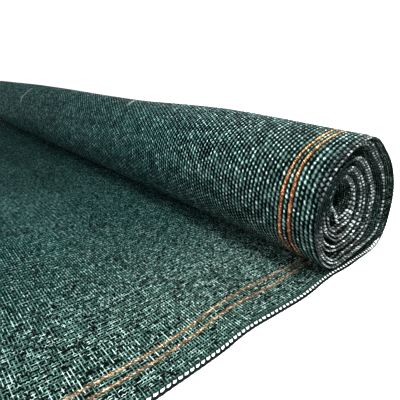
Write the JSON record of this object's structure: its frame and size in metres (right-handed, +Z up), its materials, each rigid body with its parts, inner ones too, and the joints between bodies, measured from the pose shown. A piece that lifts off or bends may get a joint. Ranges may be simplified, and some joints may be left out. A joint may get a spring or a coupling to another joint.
{
  "type": "privacy screen net roll",
  "caption": "Length of knitted screening net wound into a loose roll, with its last stretch lying flat in front; hides a view when hung on a fence or rail.",
  "frame": {"origin": "middle of the net's box in plan, on the ground under the flat stretch", "axes": "+X along the roll towards its near end, +Y from the flat stretch towards the back of the roll, +Z up"},
  "size_m": [1.003, 0.3852, 0.1051],
  "materials": {
    "knitted_net": "semi-matt knitted plastic ribbon, dark teal green, with two orange marker lines along each edge"
  },
  "bodies": {
    "root": {"privacy_net": "knitted_net"}
  },
  "joints": []
}
